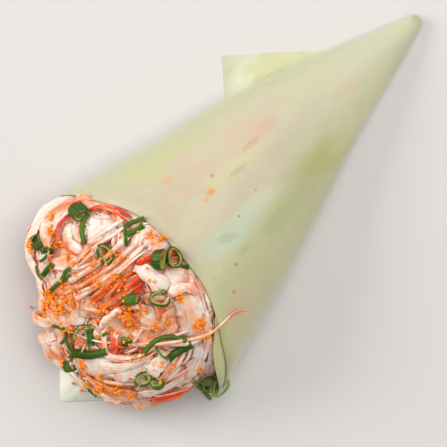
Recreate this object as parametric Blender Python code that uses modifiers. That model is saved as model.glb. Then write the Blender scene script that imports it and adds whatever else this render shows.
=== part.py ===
"""Temaki hand roll lying on its side: one soybean-paper sheet rolled to a cone round a salad of crab-stick shreds.

The sheet is a flat rectangle that is rolled about a point just outside one of its long sides, the way the
real one is. Every straight ray through that point stays straight, so the roll is a true cone:

    inner flap   folded up over the right side, inside the roll, with corner B at its end
    bottom       flat under the filling, with the free corner that pokes out in front of the mouth
    outer top    up over the left side and across to the right side
    under flap   folded under the right side and out past the left side, with the loose corner D

Row frame: +X runs from the mouth to the tip, +Y to the left seen from the mouth towards the tip, +Z up.
Lengths are metres and angles are degrees.
"""

import math

import bmesh
import bpy
import numpy as np
from mathutils import Vector

# Flat sheet, seen from the rolling point: its long side passes TIP_CLEARANCE from that point.
SHEET_WIDTH = 0.104
SHEET_LENGTH = 0.1753
TIP_CLEARANCE = 0.005
NEAR_LENGTH = 0.1156  # of the sheet's length, the part on the side of the corner in front of the mouth
FAR_LENGTH = SHEET_LENGTH - NEAR_LENGTH
FAR_SIDE = TIP_CLEARANCE + SHEET_WIDTH
SHEET_THICKNESS = 0.0004
LAYER_STEP = 0.0007  # from the middle of one layer to the middle of the next

# Cone's section, one unit from the rolling point: an arch on a nearly flat base.
HALF_ANGLE = 18.05
ARCH_ANGLE = 18.9  # of the highest ray above the base
ARCH_POWER = 2.15
BASE_POWER = 5.0
BASE_RISE = 0.040  # height of the widest line above the base

SHEET_TURN = 43.7  # from the sheet's short direction to the roll's axis
FLAP_SLIDE = 0.0068  # how far the loose flap has slid sideways under the roll
APEX = Vector((0.08155, 0.0013, 0.0009))  # rolling point, so that the origin is at the middle of the base
TIP_BEND = 0.0023  # how far the tip is bent to the right
MOUTH_PINCH = 0.045  # share of its width that the roll loses towards the mouth

RIM_LIP = 0.0045  # how much further out the rim reaches at the sides than on top
TUCK = 0.0030  # how far the inner flap is drawn back from the rim on top
SHOWN = 0.0042  # how far it stands out of the rim at the right side

# Filling: a packed cone that ends in a heap in front of the mouth.
CLEARANCE = 0.00072  # from the middle of the sheet to the filling
FILLING_START = 0.016  # from the rolling point, along the axis
HEAP_START = 0.116
HEAP_END = 0.1555
HEAP_HALF_WIDTH = 0.0355
HEAP_TOP = 0.0355
HEAP_MIDDLE = 0.0016  # sideways place of the heap's middle at the mouth
HEAP_DRIFT = -0.0100  # and how much further over the heap's foremost point is
HEAP_DENTS = (  # distance from the rolling point, across, reach and depth; a negative depth swells
    (0.1385, 0.0215, 0.0065, 0.0027),
    (0.1530, -0.0080, 0.0058, 0.0040),
    (0.1315, 0.0300, 0.0060, -0.0022),
)
SWELLING = 0.012  # the length over which the filling leaves the cone's shape
LUMP_HEIGHT = 0.0017

SHEET_COLOUR = (0.70, 0.68, 0.42, 1.0)
FILLING_COLOUR = (0.86, 0.66, 0.55, 1.0)


def smooth_step(value, low, high):
    """0 below low, 1 above high and an S-curve between them."""
    t = np.clip((value - low) / (high - low), 0.0, 1.0)
    return t * t * (3.0 - 2.0 * t)


def superellipse(turn, power):
    """Unit superellipse at an angle in radians: (across, up)."""
    c, s = np.cos(turn), np.sin(turn)
    return np.sign(c) * np.abs(c) ** (2 / power), np.sign(s) * np.abs(s) ** (2 / power)


def section_point(turn):
    """The cone's section one unit from the rolling point. 0 is the left side, half pi the top."""
    half_width = math.tan(math.radians(HALF_ANGLE))
    arch = math.tan(math.radians(ARCH_ANGLE)) - BASE_RISE
    upper_across, upper_up = superellipse(turn, ARCH_POWER)
    lower_across, lower_up = superellipse(turn, BASE_POWER)
    on_top = np.sin(turn) >= 0
    across = half_width * np.where(on_top, upper_across, lower_across)
    up = BASE_RISE + np.where(on_top, arch * upper_up, BASE_RISE * lower_up)
    return across, up


class Cone:
    """The rolled sheet's cone, with directions found by the angle that they have in the flat sheet."""

    SAMPLES = 7200

    def __init__(self):
        # The path starts at the middle of the base and goes left, over the top and back from the right.
        turn = np.linspace(-math.pi / 2, 1.5 * math.pi, self.SAMPLES + 1)
        across, up = section_point(np.where(turn > math.pi, turn - 2 * math.pi, turn))
        rays = np.stack([-np.ones_like(across), across, up], axis=1)
        rays /= np.linalg.norm(rays, axis=1)[:, None]
        steps = np.linalg.norm(np.diff(rays, axis=0), axis=1)
        self.angle = np.degrees(np.concatenate([[0.0], np.cumsum(steps)]))
        self.rays = rays
        self.full_turn = self.angle[-1]
        self.left = float(np.interp(0.0, turn, self.angle))
        self.right = float(np.interp(math.pi, turn, self.angle))

    def ray(self, path):
        """Unit ray and outward normal at an angle along the path from the middle of the base."""
        path = np.mod(path, self.full_turn)
        here = self.at(path)
        ahead = self.at(np.mod(path + 0.05, self.full_turn)) - self.at(np.mod(path - 0.05, self.full_turn))
        normal = np.cross(here, ahead)
        return here, normal / np.linalg.norm(normal, axis=-1)[..., None]

    def at(self, path):
        return np.stack([np.interp(path, self.angle, self.rays[:, k]) for k in range(3)], axis=-1)


CONE = Cone()


def swell(path, distance):
    """Gentle unevenness of the arch, in metres along the normal. It is nothing on the base."""
    share = np.mod(path, CONE.full_turn)
    on_arch = smooth_step(share, CONE.left + 2, CONE.left + 14)
    on_arch = on_arch * (1 - smooth_step(share, CONE.right - 14, CONE.right - 2))
    wave = 0.6 * np.sin(distance / 0.0145 + share * 0.11) + 0.5 * np.sin(distance / 0.0092 - share * 0.17 + 1.3)
    return 0.0009 * on_arch * wave * smooth_step(distance, 0.02, 0.07)


def settle(points):
    """The roll as it lies: its tip bent a little, its mouth pressed together, and its front sunk by one layer
    where the under flap no longer lifts it off the table."""
    turn = math.radians(SHEET_TURN)
    along_sheet = points[..., 0] * math.cos(turn) - points[..., 1] * math.sin(turn)
    drop = smooth_step(-along_sheet, FAR_LENGTH + 0.001, FAR_LENGTH + 0.009)
    settled = points.copy()
    settled[..., 1] *= 1 - MOUTH_PINCH * smooth_step(-points[..., 0], 0.085, 0.120)
    settled[..., 1] -= TIP_BEND * (1 - smooth_step(-points[..., 0], 0.004, 0.045))
    settled[..., 2] -= LAYER_STEP * drop
    return settled + np.array(APEX)


def rim_reach(bearing):
    """Distance from the rolling point to the mouth's rim, which hangs forward at both sides."""
    straight = FAR_SIDE / math.cos(math.radians(bearing))
    lip = smooth_step(abs(bearing + 3.5), 5, 17) * (1 - smooth_step(bearing, 20, 30))
    return float(straight + RIM_LIP * lip)


def flap_reach(bearing):
    """Distance to the inner flap's edge: out of the rim low on the right side, behind the rim on top."""
    above = bearing - CONE.full_turn
    shown = float(smooth_step(-above, 12, 19))
    lower = float(smooth_step(-above, 23, 30))
    return rim_reach(above) - TUCK * (1 - shown) + SHOWN * shown * (1 - 0.7 * lower)


def sheet_reach(bearing):
    """Where a ray through the rolling point meets the near and far edges of the flat sheet."""
    c, s = math.cos(math.radians(bearing)), math.sin(math.radians(bearing))
    near = TIP_CLEARANCE / c
    corner_e = -math.degrees(math.atan2(FAR_LENGTH, FAR_SIDE))
    if bearing < corner_e:
        lip = RIM_LIP * (1 - float(smooth_step(corner_e - bearing, 0, 7)))
        return near, max(FAR_LENGTH / -s + lip, near)
    if bearing < math.degrees(math.atan2(NEAR_LENGTH, FAR_SIDE)):
        return near, rim_reach(bearing)
    folded = float(smooth_step(bearing, 53, 62))
    flap = flap_reach(max(bearing, SHEET_TURN - CONE.right + CONE.full_turn))
    return near, NEAR_LENGTH / s * (1 - folded) + flap * folded


def rolled(bearing, distance):
    """The place in the roll of the flat sheet's point at this bearing and distance from the rolling point."""
    path = SHEET_TURN - bearing
    wrapped = smooth_step(path, CONE.left + 8, CONE.left + 26)
    ray, normal = CONE.ray(np.array([path]))
    out = LAYER_STEP * wrapped + float(swell(np.array([path]), distance)[0])
    point = ray[0] * distance + normal[0] * out
    flat_from = CONE.full_turn
    if path > flat_from:
        past = math.radians(path - flat_from)
        point = np.array([-math.cos(past), math.sin(past), 0.0]) * distance
        point[2] = -LAYER_STEP
    if path > CONE.right:
        slid = FLAP_SLIDE * smooth_step(path, CONE.right + 4, flat_from + 16)
        turn = math.radians(SHEET_TURN)
        point = point - slid * np.array([math.sin(turn), math.cos(turn), 0.0])
    return point


def sheet_bearings():
    """Bearings of the grid's rays: one on each corner of the sheet, and close together at the folds."""
    corner_b = math.degrees(math.acos(TIP_CLEARANCE / flap_reach(87.0)))
    corner_front = math.degrees(math.atan2(NEAR_LENGTH, FAR_SIDE))
    corner_e = -math.degrees(math.atan2(FAR_LENGTH, FAR_SIDE))
    corner_d = -math.degrees(math.atan2(FAR_LENGTH, TIP_CLEARANCE))
    left = SHEET_TURN - CONE.left
    right = SHEET_TURN - CONE.right
    inner_right = right + CONE.full_turn
    spans = [
        (corner_b, 4),
        (corner_b - 3.2, 4),
        (corner_b - 8.0, 4),
        (inner_right + 3.5, 9),
        (inner_right - 5.0, 6),
        (corner_front, 7),
        (left + 5.0, 9),
        (left - 3.5, 18),
        (corner_e, 2),
        (right - 1.0, 8),
        (right - 8.0, 5),
        (SHEET_TURN - CONE.full_turn, 9),
        (corner_d, 0),
    ]
    bearings = []
    for (start, count), (end, _) in zip(spans, spans[1:]):
        bearings += list(np.linspace(start, end, count, endpoint=False))
    return np.array(bearings + [corner_d])


def material(name, colour, roughness):
    made = bpy.data.materials.new(name)
    made.use_nodes = True
    shader = made.node_tree.nodes["Principled BSDF"]
    shader.inputs["Base Color"].default_value = colour
    shader.inputs["Roughness"].default_value = roughness
    shader.inputs["Metallic"].default_value = 0.0
    return made


def finish(piece, name, finish_material, collection):
    piece.name = name
    piece.data.name = name
    piece.data.materials.append(finish_material)
    for other in list(piece.users_collection):
        other.objects.unlink(piece)
    collection.objects.link(piece)
    piece.data.shade_smooth()
    return piece


def make_wrapper(collection):
    """A flat grid, rolled, then given the sheet's thickness."""
    bearings = sheet_bearings()
    rays, rings = len(bearings) - 1, 15
    bpy.ops.mesh.primitive_grid_add(x_subdivisions=rays, y_subdivisions=rings, size=1.0)
    sheet = bpy.context.active_object
    place = np.zeros(len(sheet.data.vertices) * 3)
    sheet.data.vertices.foreach_get("co", place)
    place = place.reshape(-1, 3) + 0.5
    points = []
    for across, outwards, _ in place:
        bearing = float(np.interp(across * rays, range(rays + 1), bearings))
        near, far = sheet_reach(bearing)
        points.append(rolled(bearing, near + (far - near) * outwards))
    sheet.data.vertices.foreach_set("co", settle(np.array(points)).ravel())

    work = bmesh.new()
    work.from_mesh(sheet.data)
    bmesh.ops.remove_doubles(work, verts=work.verts, dist=1e-6)
    bmesh.ops.dissolve_degenerate(work, edges=work.edges, dist=1e-6)
    work.to_mesh(sheet.data)
    work.free()
    sheet.data.update()

    thickness = sheet.modifiers.new("sheet thickness", "SOLIDIFY")
    thickness.thickness = SHEET_THICKNESS
    thickness.offset = 0.0
    soy_paper = material("soy paper", SHEET_COLOUR, 0.45)
    return finish(sheet, "wrapper", soy_paper, collection)


def path_at(turn):
    """The angle along the cone's path that belongs to an angle round its section."""
    start = turn + math.pi / 2 if turn >= -math.pi / 2 else turn + 2.5 * math.pi
    return float(np.interp(start / (2 * math.pi) * CONE.SAMPLES, range(CONE.SAMPLES + 1), CONE.angle))


def packed_point(turn, station):
    """A point of the filling inside the cone: the cone's own surface, brought in by the clearance."""
    across, up = section_point(np.array(turn))
    ray = np.array([-1.0, float(across), float(up)])
    path = np.array([path_at(turn)])
    _, normal = CONE.ray(path)
    inwards = CLEARANCE - float(swell(path, station * np.linalg.norm(ray))[0])
    return ray * station - normal[0] * inwards


def mouth_station(turn):
    """How far along the axis the wrapper still covers the filling, at an angle round the section."""
    path = min(max(path_at(turn), CONE.left), CONE.right)
    reach = rim_reach(SHEET_TURN - path)
    if path > SHEET_TURN + CONE.full_turn - 88:
        reach = max(reach, flap_reach(SHEET_TURN - path + CONE.full_turn))
    ray, _ = CONE.ray(np.array([path]))
    return -reach * float(ray[0, 0])


def lumps(turn, station):
    """Uneven swelling of the heap where shreds push out, from -1 to 1."""
    return (
        0.45 * math.sin(5 * turn + station / 0.0047)
        + 0.35 * math.sin(8 * turn - station / 0.0036 + 0.7)
        + 0.20 * math.sin(13 * turn + station / 0.0023 + 2.1)
    )


def dented(point):
    """Moves a point of the heap inwards, in plan, where the heap has a dent."""
    for distance, over, reach, depth in HEAP_DENTS:
        near = math.exp(-((point[0] + distance) ** 2 + (point[1] - over) ** 2) / reach**2)
        to_middle = np.array([-0.126, HEAP_MIDDLE]) - point[:2]
        point[:2] += to_middle / np.linalg.norm(to_middle) * depth * near
    return point


def heap_point(turn, station):
    """A point of the heap in front of the mouth, at an angle round it and a distance from the rolling point."""
    share = min(max((station - HEAP_START) / (HEAP_END - HEAP_START), 0.0), 1.0)
    half_width = HEAP_HALF_WIDTH * (1 - share**2.6) ** 0.95
    slope = min(max((station - 0.108) / (HEAP_END - 0.108), 0.0), 1.0)
    height = HEAP_TOP * (1 - slope**2.2) ** 0.8
    across, up = superellipse(turn, 2.3)
    low = min(0.008, 0.45 * height)
    z = low + (height - low) * up if up >= 0 else low * (1 + up)
    right_side = float(smooth_step(-across, 0.5, 1.0))
    y = half_width * across * (1 - 0.05 * right_side) + HEAP_MIDDLE + HEAP_DRIFT * share**1.5
    point = np.array([-station, float(y), float(z)])
    outwards = point - np.array([-station + 0.004, HEAP_MIDDLE, 0.009])
    bump = LUMP_HEIGHT * lumps(turn, station) * max(0.0, math.sin(turn)) ** 0.5 * (1 - share**4)
    return dented(point + outwards / np.linalg.norm(outwards) * bump)


def filling_point(turn, station):
    """Inside the cone near the tip, and out to the heap's surface in front of the rim."""
    inside = packed_point(turn, station)
    end = math.sqrt(1 - (1 - min(1.0, (station - FILLING_START) / 0.012)) ** 2)
    middle = np.array([-station, 0.0, 0.3 * station * math.tan(math.radians(ARCH_ANGLE))])
    inside = middle + (inside - middle) * end
    mouth = mouth_station(turn)
    early = 0.013 * float(smooth_step(-math.cos(turn), 0.6, 1.0))
    out = float(smooth_step(station, mouth - 0.002 - early, mouth + SWELLING - early))
    point = inside * (1 - out) + heap_point(turn, station) * out
    point[2] = max(point[2], CLEARANCE)
    return point


def make_filling(collection):
    """A ball drawn out along the roll's axis: one pole is near the tip and the other is the heap's front."""
    bpy.ops.mesh.primitive_uv_sphere_add(segments=40, ring_count=46, radius=1.0)
    filling = bpy.context.active_object
    points = []
    for vertex in filling.data.vertices:
        x, y, z = vertex.co
        share = math.acos(max(-1.0, min(1.0, z))) / math.pi
        station = FILLING_START + (HEAP_END - FILLING_START) * (0.5 - 0.5 * math.cos(math.pi * share)) ** 0.8
        if math.hypot(x, y) > 1e-6:
            points.append(filling_point(math.atan2(y, x), station))
        elif share < 0.5:
            points.append([-station, 0.0, 0.3 * station * math.tan(math.radians(ARCH_ANGLE))])
        else:
            points.append(dented(np.array([-station, HEAP_MIDDLE + HEAP_DRIFT, 2 * CLEARANCE])))
    filling.data.vertices.foreach_set("co", settle(np.array(points)).ravel())
    filling.data.update()
    crab_salad = material("crab salad", FILLING_COLOUR, 0.5)
    return finish(filling, "filling", crab_salad, collection)


def clear_scene():
    for piece in list(bpy.data.objects):
        bpy.data.objects.remove(piece, do_unlink=True)


clear_scene()
hand_roll = bpy.data.collections.new("hand roll")
bpy.context.scene.collection.children.link(hand_roll)
make_wrapper(hand_roll)
make_filling(hand_roll)
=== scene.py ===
# %% [markdown]
# # A temaki hand roll, modelled in cells
#
# A temaki is one thin sheet rolled to a cone round a salad that heaps out of the mouth. The sheet here is
# soybean paper, pale and a little see-through, and the salad is crab stick pulled to shreds, with flying-
# fish roe and scallion. The solid model gives the true sizes. This lesson puts the real surfaces on it: the
# sheet with its stains, and every shred, curl, bead and ring in place of the plain heap.

# %% Load the solid model
import math

import bmesh
import bpy
import numpy as np
from mathutils import Matrix, Vector, noise
from mathutils.bvhtree import BVHTree


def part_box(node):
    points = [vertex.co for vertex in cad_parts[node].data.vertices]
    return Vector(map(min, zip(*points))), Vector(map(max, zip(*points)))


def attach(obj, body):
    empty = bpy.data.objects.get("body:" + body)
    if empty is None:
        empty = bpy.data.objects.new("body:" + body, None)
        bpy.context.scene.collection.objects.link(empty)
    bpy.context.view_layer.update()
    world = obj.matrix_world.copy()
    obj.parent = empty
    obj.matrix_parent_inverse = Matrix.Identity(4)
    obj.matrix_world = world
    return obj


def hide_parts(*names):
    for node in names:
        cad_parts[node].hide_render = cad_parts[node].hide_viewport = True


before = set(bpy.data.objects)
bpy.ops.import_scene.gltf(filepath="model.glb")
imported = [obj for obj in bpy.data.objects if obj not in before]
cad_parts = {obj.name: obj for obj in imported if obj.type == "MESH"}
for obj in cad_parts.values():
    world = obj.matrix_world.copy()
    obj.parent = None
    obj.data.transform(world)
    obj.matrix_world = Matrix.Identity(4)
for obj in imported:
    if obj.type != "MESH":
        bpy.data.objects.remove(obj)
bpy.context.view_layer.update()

MM = 0.001
rng = np.random.default_rng(20)
roll_low, roll_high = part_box("wrapper")
heap_low, heap_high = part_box("filling")
MIDDLE = Vector((-0.048, 0.0, 0.0))  # of the heap; places are given from here, to the right and up
RIGHT, UP = Vector((1, -1, 0)).normalized(), Vector((1, 1, 0)).normalized()

# %% [markdown]
# ## The camera, the table and the light
#
# The roll is seen from almost straight above, with its tip at the upper right. A long lens far away keeps
# the cone's true proportions. The light is the soft daylight of a pale room. One window stands off the
# roll's left side and gives its right side a shadow. A second and broader one hangs high over the tip's
# end, and a pale world fills what is left.

# %% Camera
VIEW_HEIGHT = 0.60
VIEW_TILT = math.radians(2)  # from straight down
VIEW_TURN = math.radians(-45)
VIEW_WIDTH = 0.1315
SENSOR = 36
aim = Vector((-0.0063, -0.0035, 0.0))

camera = bpy.data.objects.new("camera", bpy.data.cameras.new("camera"))
bpy.context.scene.collection.objects.link(camera)
bpy.context.scene.camera = camera
back = Vector((math.sin(VIEW_TURN) * math.sin(VIEW_TILT), -math.cos(VIEW_TURN) * math.sin(VIEW_TILT),
               math.cos(VIEW_TILT)))
picture_up = Vector((1, 1, 0)).normalized()
picture_up = (picture_up - back * picture_up.dot(back)).normalized()
axes = Matrix((picture_up.cross(back), picture_up, back)).transposed()
camera.matrix_world = Matrix.Translation(aim + back * VIEW_HEIGHT) @ axes.to_4x4()
camera.data.sensor_width = SENSOR
camera.data.lens = SENSOR * VIEW_HEIGHT / VIEW_WIDTH
camera.data.clip_start = 0.01
print("lens", round(camera.data.lens), "mm")

# %% Light


def area_lamp(name, place, size, power, colour):
    """A square softbox that looks at the middle of the roll."""
    lamp = bpy.data.objects.new(name, bpy.data.lights.new(name, "AREA"))
    bpy.context.scene.collection.objects.link(lamp)
    lamp.data.size, lamp.data.energy, lamp.data.color = size, power, colour
    lamp.matrix_world = Matrix.Translation(place) @ place.to_track_quat("Z", "Y").to_matrix().to_4x4()
    return lamp


DAYLIGHT, SKYLIGHT = (1.0, 0.99, 0.97), (0.96, 0.98, 1.0, 1.0)
side_window = area_lamp("side window", Vector((-0.43, 0.75, 0.5)), 0.50, 7.5, DAYLIGHT)
roof_window = area_lamp("roof window", Vector((0.42, -0.06, 0.91)), 1.0, 9.1, DAYLIGHT)

world = bpy.data.worlds.new("room")
bpy.context.scene.world = world
world.use_nodes = True
world.node_tree.nodes["Background"].inputs["Color"].default_value = SKYLIGHT
world.node_tree.nodes["Background"].inputs["Strength"].default_value = 0.40
bpy.context.scene.view_settings.view_transform = "Standard"
print("lights:", side_window.name, "and", roof_window.name)

# %% [markdown]
# ## Shader sums
#
# A stain or a stripe is a sum of distances and noises. Written as node links that sum is hard to read, so
# one small class wraps a socket and lets Python's own signs add the Math nodes. The second class adds any
# other node.

# %% Shader helpers


class Value:
    """A number that varies over a surface. Sums of values become Math nodes."""

    def __init__(self, finish, socket):
        self.finish, self.socket = finish, socket

    def _sum(self, operation, *others):
        return self.finish.add("ShaderNodeMath", {"operation": operation}, self, *others).value()

    def __add__(self, other):
        return self._sum("ADD", other)

    def __sub__(self, other):
        return self._sum("SUBTRACT", other)

    def __mul__(self, other):
        return self._sum("MULTIPLY", other)

    def __truediv__(self, other):
        return self._sum("DIVIDE", other)

    def __rsub__(self, other):
        return self.finish.add("ShaderNodeMath", {"operation": "SUBTRACT"}, other, self).value()

    __radd__, __rmul__ = __add__, __mul__

    def step(self, low, high):
        """0 below low, 1 above high and a smooth rise between them. It falls if low is above high."""
        if low > high:
            return 1 - self.step(high, low)
        node = self.finish.add("ShaderNodeMapRange", {"interpolation_type": "SMOOTHSTEP"}, self, low, high)
        return node.value()

    def most(self, other):
        return self._sum("MAXIMUM", other)

    def size(self):
        return self._sum("ABSOLUTE")


class Node:
    """A node of a finish, with its outputs as values."""

    def __init__(self, finish, node):
        self.finish, self.node = finish, node

    def value(self, name=0):
        return Value(self.finish, self.node.outputs[name])


class Finish:
    """A material with one Principled shader."""

    def __init__(self, name, **constants):
        self.material = bpy.data.materials.new(name)
        self.material.use_nodes = True
        self.tree = self.material.node_tree
        self.shader = Node(self, self.tree.nodes["Principled BSDF"])
        self.set(self.shader, constants)

    def add(self, kind, settings, *values, **named):
        """Adds a node: its settings first, then its sockets in order or by name."""
        node = self.tree.nodes.new(kind)
        for key, setting in settings.items():
            if key == "stops":
                self.ramp_stops(node.color_ramp, setting)
            else:
                setattr(node, key, setting)
        made = Node(self, node)
        self.set(made, dict(enumerate(values)))
        self.set(made, named)
        return made

    def set(self, node, sockets):
        for name, what in sockets.items():
            socket = node.node.inputs[name.replace("_", " ") if isinstance(name, str) else name]
            if isinstance(what, Value):
                self.tree.links.new(what.socket, socket)
            else:
                socket.default_value = what

    def ramp_stops(self, ramp, stops):
        while len(ramp.elements) < len(stops):
            ramp.elements.new(1.0)
        for element, (place, colour) in zip(ramp.elements, stops):
            element.position, element.color = place, colour

    def place(self):
        """Object coordinates: (all three, x, y, z)."""
        coordinates = self.add("ShaderNodeTexCoord", {}).value("Object")
        parts = self.add("ShaderNodeSeparateXYZ", {}, coordinates)
        return coordinates, parts.value("X"), parts.value("Y"), parts.value("Z")

    def noise(self, coordinates, scale, detail=3.0, stretch=(1, 1, 1), shift=(0, 0, 0), roughness=0.5):
        """Noise from about 0 to 1, with blotches of 1/scale metres."""
        mapped = self.add("ShaderNodeMapping", {}, coordinates, Location=shift, Scale=stretch).value()
        return self.add("ShaderNodeTexNoise", {}, Vector=mapped, Scale=scale, Detail=detail,
                        Roughness=roughness).value(0)

    def mix(self, share, first, second):
        """One colour over another by a share."""
        node = self.add("ShaderNodeMix", {"data_type": "RGBA"}, Factor=share)
        for socket, colour in zip([s for s in node.node.inputs if s.type == "RGBA"], (first, second)):
            if isinstance(colour, Value):
                self.tree.links.new(colour.socket, socket)
            else:
                socket.default_value = colour
        return Value(self, [s for s in node.node.outputs if s.type == "RGBA"][0])

    def attribute(self, name):
        return self.add("ShaderNodeAttribute", {"attribute_name": name}).value("Fac")

    def bump(self, height, strength, distance):
        return self.add("ShaderNodeBump", {}, Strength=strength, Distance=distance, Height=height).value()


def tint(red, green, blue):
    """A screen colour from 0 to 255, made linear."""
    def linear(part):
        part = part / 255
        return part / 12.92 if part <= 0.04045 else ((part + 0.055) / 1.055) ** 2.4
    return linear(red), linear(green), linear(blue), 1.0


# %% Table
bpy.ops.object.select_all(action="DESELECT")
bpy.ops.mesh.primitive_plane_add(size=4.0, location=(0, 0, -0.00002))
table = bpy.context.active_object
table.name = "table"
porcelain = Finish("pale table", Base_Color=tint(199, 195, 192), Roughness=0.5)
table.data.materials.append(porcelain.material)

# %% [markdown]
# ## Mesh helpers
#
# The salad has hundreds of pieces of a few kinds. Each kind is modelled once as a straight mould.
# Copies of the mould are then bent along their own paths and joined, so that a whole kind is one mesh.

# %% Mesh helpers


class Mould:
    """The corners and faces of a shape that is copied."""

    def __init__(self, corners, faces):
        self.corners, self.faces = corners, faces


def take_mould(piece):
    """The mould of a shape that was modelled with Blender's tools. The shape itself is removed."""
    corners = np.array([corner.co for corner in piece.data.vertices])
    faces = [tuple(face.vertices) for face in piece.data.polygons]
    bpy.data.objects.remove(piece, do_unlink=True)
    return Mould(corners, faces)


class Joined:
    """Collects the copies of one kind, with a number per corner that its finish reads."""

    def __init__(self):
        self.corners, self.faces, self.marks, self.count = [], [], {}, 0

    def put(self, corners, faces, **marks):
        start = sum(len(c) for c in self.corners)
        self.corners.append(corners)
        self.faces += [tuple(start + i for i in face) for face in faces]
        for name, mark in marks.items():
            self.marks.setdefault(name, []).append(np.broadcast_to(mark, len(corners)))
        self.count += 1

    def piece(self, name, finish, slot, *nodes):
        mesh = bpy.data.meshes.new(name)
        mesh.from_pydata(np.concatenate(self.corners).tolist(), [], self.faces)
        for mark, values in self.marks.items():
            layer = mesh.attributes.new(mark, "FLOAT", "POINT")
            layer.data.foreach_set("value", np.concatenate(values).astype(np.float32))
        mesh.validate()
        mesh.shade_smooth()
        mesh.materials.append(finish.material)
        made = bpy.data.objects.new(name, mesh)
        bpy.context.scene.collection.objects.link(made)
        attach(made, "root")
        if nodes:
            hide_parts(*nodes)
        triangles = sum(len(face) - 2 for face in self.faces)
        print(name, self.count, "copies,", triangles, "triangles")
        return made


def edit(piece):
    """Opens a piece for editing, alone and with nothing selected."""
    bpy.ops.object.select_all(action="DESELECT")
    piece.select_set(True)
    bpy.context.view_layer.objects.active = piece
    bpy.ops.object.mode_set(mode="EDIT")
    bpy.ops.mesh.select_all(action="DESELECT")


def done():
    bpy.ops.object.mode_set(mode="OBJECT")
    bpy.ops.object.select_all(action="DESELECT")


def merged_copy(node, name):
    """A copy of a CAD node, with its loose triangles merged to a closed skin."""
    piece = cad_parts[node].copy()
    piece.data = piece.data.copy()
    for key in list(piece.keys()):
        del piece[key]
    piece.parent = None
    piece.hide_viewport = piece.hide_render = False
    piece.name = piece.data.name = name
    bpy.context.scene.collection.objects.link(piece)
    piece.hide_set(False)
    piece.data.materials.clear()
    edit(piece)
    bpy.ops.mesh.select_all(action="SELECT")
    bpy.ops.mesh.remove_doubles(threshold=0.000002)
    bpy.ops.mesh.tris_convert_to_quads()
    done()
    return piece


def use_modifier(piece, kind, **settings):
    modifier = piece.modifiers.new(kind.lower(), kind)
    for key, value in settings.items():
        setattr(modifier, key, value)
    bpy.context.view_layer.objects.active = piece
    bpy.ops.object.modifier_apply(modifier=modifier.name)


def smooth_step(value, low, high):
    t = np.clip((value - low) / (high - low), 0.0, 1.0)
    return t * t * (3.0 - 2.0 * t)


def unit(vectors):
    return vectors / np.maximum(np.linalg.norm(vectors, axis=-1, keepdims=True), 1e-12)


# %% [markdown]
# ## The rolled sheet
#
# The solid model's sheet is already rolled with its folds, its inner flap and its two free corners. A copy
# is merged and subdivided, which rounds its edges as moisture does, and then its surface is made uneven:
# shreds press out from inside as long low ridges, and the damp sheet has small waves. The two sides of the
# sheet move together, because both read the same slow noise.

# %% Shape the sheet
TIP = Vector((roll_high.x + 0.0044, 0.0013, 0.0009))  # the point that the sheet is rolled about
SLACK = 1.9 * MM


def sheet_wave(place):
    """How far the sheet is pressed out at a place, in metres."""
    x, y, z = place
    on_cone = float(smooth_step(z, 0.004, 0.016) * smooth_step(TIP.x - x, 0.015, 0.06))
    ridges = noise.noise(Vector((x * 34, (y + 0.35 * z) * 130, z * 60)))
    dents = noise.noise(Vector((x * 75 + 9, y * 75, z * 75)))
    return MM * (0.55 * ridges + 0.30 * dents) * on_cone


def draw_in_left(piece):
    """Takes the slack out of the roll's left side. The sheet and what fills it move together."""
    for corner in piece.data.vertices:
        x, y, _ = corner.co
        along = smooth_step(0.018 - x, 0.0, 0.026) * smooth_step(x + 0.046, 0.0, 0.014)
        corner.co.y -= SLACK * float(smooth_step(y, 0.012, 0.030) * along)


soy_sheet = merged_copy("wrapper", "soy_sheet")
draw_in_left(soy_sheet)
edit(soy_sheet)
bpy.ops.mesh.select_mode(type="EDGE")
bpy.ops.mesh.edges_select_sharp(sharpness=math.radians(50))
bpy.ops.transform.edge_crease(value=1.0)
done()
use_modifier(soy_sheet, "SUBSURF", levels=1, render_levels=1)
centre_line = [Vector((x, 0.0, 0.15 * (TIP.x - x))) for x in (roll_low.x, roll_high.x)]
for corner in soy_sheet.data.vertices:
    share = (corner.co.x - roll_low.x) / (roll_high.x - roll_low.x)
    outwards = (corner.co - centre_line[0].lerp(centre_line[1], share)).normalized()
    corner.co += outwards * sheet_wave(corner.co)
soy_sheet.data.shade_smooth()
print("sheet", len(soy_sheet.data.polygons), "faces")

# %% [markdown]
# ### The sheet's finish
#
# Soybean paper is a milky film. What lies close under it shows as a soft stain: pink where shreds touch it,
# orange where an egg does. Where two layers lie on each other and where the filling stops short it turns
# green. All of this is colour, so it is painted with masks measured in millimetres from the tip. The flat
# corner at the far left is painted lighter, as painted light where the heap's shadow falls on it.

# %% Finish the sheet
sheet_finish = Finish("soy paper", IOR=1.42, Specular_IOR_Level=0.35, Subsurface_Weight=0.25,
                      Subsurface_Radius=(0.0020, 0.0016, 0.0010), Subsurface_Scale=1.0, Sheen_Weight=0.35,
                      Sheen_Roughness=0.45)
place, x, y, z = sheet_finish.place()
from_tip = TIP.x - x
side = (y - TIP.y) / from_tip.most(0.004)
ASLANT = 707.1  # what a metre along X or Y measures along RIGHT or UP, in millimetres
to_right, to_up = (x - MIDDLE.x - y) * ASLANT, (x - MIDDLE.x + y) * ASLANT
cloud = sheet_finish.noise(place, 55, 4.0, roughness=0.6)
wisp = sheet_finish.noise(place, 150, 4.0, stretch=(0.45, 1.2, 1.0), roughness=0.55)
grain = sheet_finish.noise(place, 900, 3.0, stretch=(1, 1.6, 1))
streak = sheet_finish.noise(place, 95, 3.0, stretch=(0.35, 1.3, 1.0))
upper = z.step(0.0020, 0.0050)


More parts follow.
